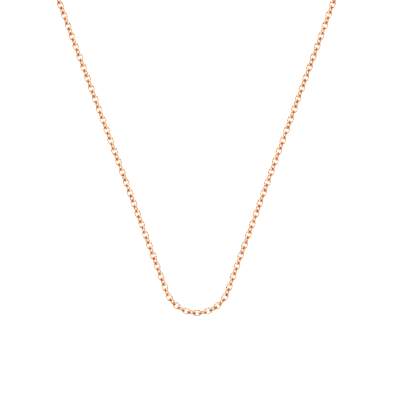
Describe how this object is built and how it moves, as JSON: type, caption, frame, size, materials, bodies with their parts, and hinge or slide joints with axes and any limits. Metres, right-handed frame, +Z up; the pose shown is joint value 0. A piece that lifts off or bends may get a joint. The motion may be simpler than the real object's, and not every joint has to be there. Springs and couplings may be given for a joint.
{
  "type": "chain necklace",
  "caption": "Fine oval cable chain necklace in rose gold colour with a lobster claw clasp and a flat end tag, laid flat in a long drop shape.",
  "frame": {"origin": "under the middle of the whole necklace as it lies, on the surface it lies on", "axes": "+Z up from the surface; +Y from the bottom of the drop to the clasp at the back of the neck; +X to the right side seen from above"},
  "size_m": [0.105, 0.1866, 0.002],
  "materials": {
    "rose_gold_chain": "polished rose gold, bright",
    "rose_gold_findings": "polished rose gold, cast and tumbled",
    "spring_steel": "bright drawn spring steel"
  },
  "bodies": {
    "chain_run_middle": {"chain_run_middle": "rose_gold_chain"},
    "chain_run_right_22": {"chain_run_right_22": "rose_gold_chain"},
    "chain_run_right_21": {"chain_run_right_21": "rose_gold_chain"},
    "chain_run_right_20": {"chain_run_right_20": "rose_gold_chain"},
    "chain_run_right_19": {"chain_run_right_19": "rose_gold_chain"},
    "chain_run_right_18": {"chain_run_right_18": "rose_gold_chain"},
    "chain_run_right_17": {"chain_run_right_17": "rose_gold_chain"},
    "chain_run_right_16": {"chain_run_right_16": "rose_gold_chain"},
    "chain_run_right_15": {"chain_run_right_15": "rose_gold_chain"},
    "chain_run_right_14": {"chain_run_right_14": "rose_gold_chain"},
    "chain_run_right_13": {"chain_run_right_13": "rose_gold_chain"},
    "chain_run_right_12": {"chain_run_right_12": "rose_gold_chain"},
    "chain_run_right_11": {"chain_run_right_11": "rose_gold_chain"},
    "chain_run_right_10": {"chain_run_right_10": "rose_gold_chain"},
    "chain_run_right_09": {"chain_run_right_09": "rose_gold_chain"},
    "chain_run_right_08": {"chain_run_right_08": "rose_gold_chain"},
    "chain_run_right_07": {"chain_run_right_07": "rose_gold_chain"},
    "chain_run_right_06": {"chain_run_right_06": "rose_gold_chain"},
    "chain_run_right_05": {"chain_run_right_05": "rose_gold_chain"},
    "chain_run_right_04": {"chain_run_right_04": "rose_gold_chain"},
    "chain_run_right_03": {"chain_run_right_03": "rose_gold_chain"},
    "chain_run_right_02": {"chain_run_right_02": "rose_gold_chain"},
    "chain_run_right_01": {"chain_run_right_01": "rose_gold_chain"},
    "chain_run_left_22": {"chain_run_left_22": "rose_gold_chain"},
    "chain_run_left_21": {"chain_run_left_21": "rose_gold_chain"},
    "chain_run_left_20": {"chain_run_left_20": "rose_gold_chain"},
    "chain_run_left_19": {"chain_run_left_19": "rose_gold_chain"},
    "chain_run_left_18": {"chain_run_left_18": "rose_gold_chain"},
    "chain_run_left_17": {"chain_run_left_17": "rose_gold_chain"},
    "chain_run_left_16": {"chain_run_left_16": "rose_gold_chain"},
    "chain_run_left_15": {"chain_run_left_15": "rose_gold_chain"},
    "chain_run_left_14": {"chain_run_left_14": "rose_gold_chain"},
    "chain_run_left_13": {"chain_run_left_13": "rose_gold_chain"},
    "chain_run_left_12": {"chain_run_left_12": "rose_gold_chain"},
    "chain_run_left_11": {"chain_run_left_11": "rose_gold_chain"},
    "chain_run_left_10": {"chain_run_left_10": "rose_gold_chain"},
    "chain_run_left_09": {"chain_run_left_09": "rose_gold_chain"},
    "chain_run_left_08": {"chain_run_left_08": "rose_gold_chain"},
    "chain_run_left_07": {"chain_run_left_07": "rose_gold_chain"},
    "chain_run_left_06": {"chain_run_left_06": "rose_gold_chain"},
    "chain_run_left_05": {"chain_run_left_05": "rose_gold_chain"},
    "chain_run_left_04": {"chain_run_left_04": "rose_gold_chain"},
    "chain_run_left_03": {"chain_run_left_03": "rose_gold_chain"},
    "chain_run_left_02": {"chain_run_left_02": "rose_gold_chain"},
    "chain_run_left_01": {"chain_run_left_01": "rose_gold_chain"},
    "jump_ring_clasp": {"jump_ring_clasp": "rose_gold_findings"},
    "clasp": {"clasp_body": "rose_gold_findings", "clasp_rivet": "rose_gold_findings", "clasp_spring": "spring_steel"},
    "clasp_trigger": {"clasp_trigger": "rose_gold_findings"},
    "jump_ring_tag": {"jump_ring_tag": "rose_gold_findings"},
    "end_tag": {"end_tag": "rose_gold_findings"}
  },
  "joints": [
    {"name": "clasp_trigger_press", "type": "hinge", "parent": "clasp", "child": "clasp_trigger", "pos_m": [-0.00474, 0.09064, 0.00098], "axis": [0, 0, -1], "range_deg": [0, 22], "stiffness_Nm_per_rad": 0.001, "springref_deg": -20.05},
    {"name": "clasp_swing", "type": "hinge", "parent": "jump_ring_clasp", "child": "clasp", "pos_m": [-0.00741, 0.09013, 0.00098], "axis": [0, 0, 1], "range_deg": [-50, 50]},
    {"name": "end_tag_swing", "type": "hinge", "parent": "jump_ring_tag", "child": "end_tag", "pos_m": [0.00757, 0.09012, 0.00097], "axis": [-0.097, 0.011, 0.9952], "range_deg": [-50, 50]},
    {"name": "jump_ring_clasp_turn", "type": "hinge", "parent": "chain_run_left_01", "child": "jump_ring_clasp", "pos_m": [-0.00908, 0.08988, 0.00098], "axis": [-0.0983, 0.4895, -0.8665], "range_deg": [-45, 45]},
    {"name": "jump_ring_tag_turn", "type": "hinge", "parent": "chain_run_right_01", "child": "jump_ring_tag", "pos_m": [0.00908, 0.08988, 0.00098], "axis": [0.1242, 0.6187, -0.7758], "range_deg": [-45, 45]},
    {"name": "run_left_01_turn", "type": "hinge", "parent": "chain_run_left_02", "child": "chain_run_left_01", "pos_m": [-0.01878, 0.08714, 0.00098], "axis": [0.3255, -0.8842, -0.3349], "range_deg": [-45, 45]},
    {"name": "run_left_02_turn", "type": "hinge", "parent": "chain_run_left_03", "child": "chain_run_left_02", "pos_m": [-0.02683, 0.08314, 0.00098], "axis": [-0.2806, 0.4387, -0.8537], "range_deg": [-45, 45]},
    {"name": "run_left_03_turn", "type": "hinge", "parent": "chain_run_left_04", "child": "chain_run_left_03", "pos_m": [-0.03487, 0.07707, 0.00098], "axis": [0.6248, -0.7071, -0.3311], "range_deg": [-45, 45]},
    {"name": "run_left_04_turn", "type": "hinge", "parent": "chain_run_left_05", "child": "chain_run_left_04", "pos_m": [-0.04093, 0.07043, 0.00098], "axis": [-0.3968, 0.2897, -0.871], "range_deg": [-45, 45]},
    {"name": "run_left_05_turn", "type": "hinge", "parent": "chain_run_left_06", "child": "chain_run_left_05", "pos_m": [-0.04623, 0.06185, 0.00098], "axis": [-0.8336, 0.43, 0.3467], "range_deg": [-45, 45]},
    {"name": "run_left_06_turn", "type": "hinge", "parent": "chain_run_left_07", "child": "chain_run_left_06", "pos_m": [-0.04946, 0.05347, 0.00098], "axis": [-0.4704, 0.125, -0.8736], "range_deg": [-45, 45]},
    {"name": "run_left_07_turn", "type": "hinge", "parent": "chain_run_left_08", "child": "chain_run_left_07", "pos_m": [-0.05129, 0.04356, 0.00098], "axis": [-0.9415, 0.0995, 0.3221], "range_deg": [-45, 45]},
    {"name": "run_left_08_turn", "type": "hinge", "parent": "chain_run_left_09", "child": "chain_run_left_08", "pos_m": [-0.05126, 0.03457, 0.00098], "axis": [0.488, 0.0545, 0.8711], "range_deg": [-45, 45]},
    {"name": "run_left_09_turn", "type": "hinge", "parent": "chain_run_left_10", "child": "chain_run_left_09", "pos_m": [-0.04937, 0.02467, 0.00098], "axis": [-0.8969, -0.2441, 0.3689], "range_deg": [-45, 45]},
    {"name": "run_left_10_turn", "type": "hinge", "parent": "chain_run_left_11", "child": "chain_run_left_10", "pos_m": [-0.04637, 0.01619, 0.00098], "axis": [0.4582, 0.1686, 0.8727], "range_deg": [-45, 45]},
    {"name": "run_left_11_turn", "type": "hinge", "parent": "chain_run_left_12", "child": "chain_run_left_11", "pos_m": [-0.04288, 0.00672, 0.00098], "axis": [0.8719, 0.3208, -0.3699], "range_deg": [-45, 45]},
    {"name": "run_left_12_turn", "type": "hinge", "parent": "chain_run_left_13", "child": "chain_run_left_12", "pos_m": [-0.03978, -0.00173, 0.00098], "axis": [0.4987, 0.1835, 0.8471], "range_deg": [-45, 45]},
    {"name": "run_left_13_turn", "type": "hinge", "parent": "chain_run_left_14", "child": "chain_run_left_13", "pos_m": [-0.03629, -0.0112, 0.00098], "axis": [-0.8867, -0.3262, 0.3277], "range_deg": [-45, 45]},
    {"name": "run_left_14_turn", "type": "hinge", "parent": "chain_run_left_15", "child": "chain_run_left_14", "pos_m": [-0.03318, -0.01964, 0.00098], "axis": [0.4788, 0.1762, 0.8601], "range_deg": [-45, 45]},
    {"name": "run_left_15_turn", "type": "hinge", "parent": "chain_run_left_16", "child": "chain_run_left_15", "pos_m": [-0.0297, -0.02912, 0.00098], "axis": [-0.8854, -0.3258, 0.3315], "range_deg": [-45, 45]},
    {"name": "run_left_16_turn", "type": "hinge", "parent": "chain_run_left_17", "child": "chain_run_left_16", "pos_m": [-0.02659, -0.03756, 0.00098], "axis": [-0.4907, -0.1805, -0.8524], "range_deg": [-45, 45]},
    {"name": "run_left_17_turn", "type": "hinge", "parent": "chain_run_left_18", "child": "chain_run_left_17", "pos_m": [-0.0231, -0.04704, 0.00098], "axis": [-0.8817, -0.3244, 0.3425], "range_deg": [-45, 45]},
    {"name": "run_left_18_turn", "type": "hinge", "parent": "chain_run_left_19", "child": "chain_run_left_18", "pos_m": [-0.02, -0.05548, 0.00098], "axis": [0.4763, 0.1753, 0.8616], "range_deg": [-45, 45]},
    {"name": "run_left_19_turn", "type": "hinge", "parent": "chain_run_left_20", "child": "chain_run_left_19", "pos_m": [-0.01651, -0.06496, 0.00098], "axis": [0.872, 0.3208, -0.3696], "range_deg": [-45, 45]},
    {"name": "run_left_20_turn", "type": "hinge", "parent": "chain_run_left_21", "child": "chain_run_left_20", "pos_m": [-0.01341, -0.0734, 0.00098], "axis": [0.4888, 0.1798, 0.8537], "range_deg": [-45, 45]},
    {"name": "run_left_21_turn", "type": "hinge", "parent": "chain_run_left_22", "child": "chain_run_left_21", "pos_m": [-0.00992, -0.08287, 0.00098], "axis": [-0.881, -0.3242, 0.3445], "range_deg": [-45, 45]},
    {"name": "run_left_22_turn", "type": "hinge", "parent": "chain_run_middle", "child": "chain_run_left_22", "pos_m": [-0.00548, -0.09052, 0.00098], "axis": [0.248, 0.4372, 0.8645], "range_deg": [-45, 45]},
    {"name": "run_right_01_turn", "type": "hinge", "parent": "chain_run_right_02", "child": "chain_run_right_01", "pos_m": [0.01879, 0.08714, 0.00098], "axis": [0.3261, 0.8858, 0.3301], "range_deg": [-45, 45]},
    {"name": "run_right_02_turn", "type": "hinge", "parent": "chain_run_right_03", "child": "chain_run_right_02", "pos_m": [0.02683, 0.08314, 0.00098], "axis": [-0.3246, -0.5074, 0.7983], "range_deg": [-45, 45]},
    {"name": "run_right_03_turn", "type": "hinge", "parent": "chain_run_right_04", "child": "chain_run_right_03", "pos_m": [0.03488, 0.07707, 0.00098], "axis": [0.6267, 0.7093, 0.3225], "range_deg": [-45, 45]},
    {"name": "run_right_04_turn", "type": "hinge", "parent": "chain_run_right_05", "child": "chain_run_right_04", "pos_m": [0.04093, 0.07043, 0.00098], "axis": [-0.4929, -0.36, 0.7921], "range_deg": [-45, 45]},
    {"name": "run_right_05_turn", "type": "hinge", "parent": "chain_run_right_06", "child": "chain_run_right_05", "pos_m": [0.04623, 0.06185, 0.00098], "axis": [-0.8275, -0.4268, -0.3649], "range_deg": [-45, 45]},
    {"name": "run_right_06_turn", "type": "hinge", "parent": "chain_run_right_07", "child": "chain_run_right_06", "pos_m": [0.04947, 0.05347, 0.00098], "axis": [-0.6097, -0.1621, 0.7759], "range_deg": [-45, 45]},
    {"name": "run_right_07_turn", "type": "hinge", "parent": "chain_run_right_08", "child": "chain_run_right_07", "pos_m": [0.0513, 0.04356, 0.00098], "axis": [0.9224, 0.0974, 0.3738], "range_deg": [-45, 45]},
    {"name": "run_right_08_turn", "type": "hinge", "parent": "chain_run_right_09", "child": "chain_run_right_08", "pos_m": [0.05127, 0.03457, 0.00098], "axis": [-0.586, 0.0654, 0.8076], "range_deg": [-45, 45]},
    {"name": "run_right_09_turn", "type": "hinge", "parent": "chain_run_right_10", "child": "chain_run_right_09", "pos_m": [0.04938, 0.02467, 0.00098], "axis": [0.9179, -0.2498, 0.3082], "range_deg": [-45, 45]},
    {"name": "run_right_10_turn", "type": "hinge", "parent": "chain_run_right_11", "child": "chain_run_right_10", "pos_m": [0.04638, 0.01619, 0.00098], "axis": [-0.5857, 0.2155, 0.7813], "range_deg": [-45, 45]},
    {"name": "run_right_11_turn", "type": "hinge", "parent": "chain_run_right_12", "child": "chain_run_right_11", "pos_m": [0.04289, 0.00672, 0.00098], "axis": [0.8767, -0.3226, 0.3569], "range_deg": [-45, 45]},
    {"name": "run_right_12_turn", "type": "hinge", "parent": "chain_run_right_13", "child": "chain_run_right_12", "pos_m": [0.03978, -0.00173, 0.00098], "axis": [-0.5724, 0.2106, 0.7925], "range_deg": [-45, 45]},
    {"name": "run_right_13_turn", "type": "hinge", "parent": "chain_run_right_14", "child": "chain_run_right_13", "pos_m": [0.0363, -0.0112, 0.00098], "axis": [-0.8843, 0.3254, -0.3349], "range_deg": [-45, 45]},
    {"name": "run_right_14_turn", "type": "hinge", "parent": "chain_run_right_15", "child": "chain_run_right_14", "pos_m": [0.03319, -0.01964, 0.00098], "axis": [0.5679, -0.2089, -0.7962], "range_deg": [-45, 45]},
    {"name": "run_right_15_turn", "type": "hinge", "parent": "chain_run_right_16", "child": "chain_run_right_15", "pos_m": [0.0297, -0.02912, 0.00098], "axis": [0.8736, -0.3214, 0.3655], "range_deg": [-45, 45]},
    {"name": "run_right_16_turn", "type": "hinge", "parent": "chain_run_right_17", "child": "chain_run_right_16", "pos_m": [0.0266, -0.03756, 0.00098], "axis": [-0.5772, 0.2124, 0.7885], "range_deg": [-45, 45]},
    {"name": "run_right_17_turn", "type": "hinge", "parent": "chain_run_right_18", "child": "chain_run_right_17", "pos_m": [0.02311, -0.04704, 0.00098], "axis": [-0.8758, 0.3222, -0.3594], "range_deg": [-45, 45]},
    {"name": "run_right_18_turn", "type": "hinge", "parent": "chain_run_right_19", "child": "chain_run_right_18", "pos_m": [0.02001, -0.05548, 0.00098], "axis": [0.5846, -0.2151, -0.7823], "range_deg": [-45, 45]},
    {"name": "run_right_19_turn", "type": "hinge", "parent": "chain_run_right_20", "child": "chain_run_right_19", "pos_m": [0.01652, -0.06496, 0.00098], "axis": [0.8858, -0.3259, 0.3302], "range_deg": [-45, 45]},
    {"name": "run_right_20_turn", "type": "hinge", "parent": "chain_run_right_21", "child": "chain_run_right_20", "pos_m": [0.01341, -0.0734, 0.00098], "axis": [-0.5726, 0.2107, 0.7923], "range_deg": [-45, 45]},
    {"name": "run_right_21_turn", "type": "hinge", "parent": "chain_run_right_22", "child": "chain_run_right_21", "pos_m": [0.00993, -0.08287, 0.00098], "axis": [0.8851, -0.3257, 0.3325], "range_deg": [-45, 45]},
    {"name": "run_right_22_turn", "type": "hinge", "parent": "chain_run_middle", "child": "chain_run_right_22", "pos_m": [0.00549, -0.09052, 0.00098], "axis": [-0.3003, 0.5294, 0.7935], "range_deg": [-45, 45]}
  ]
}
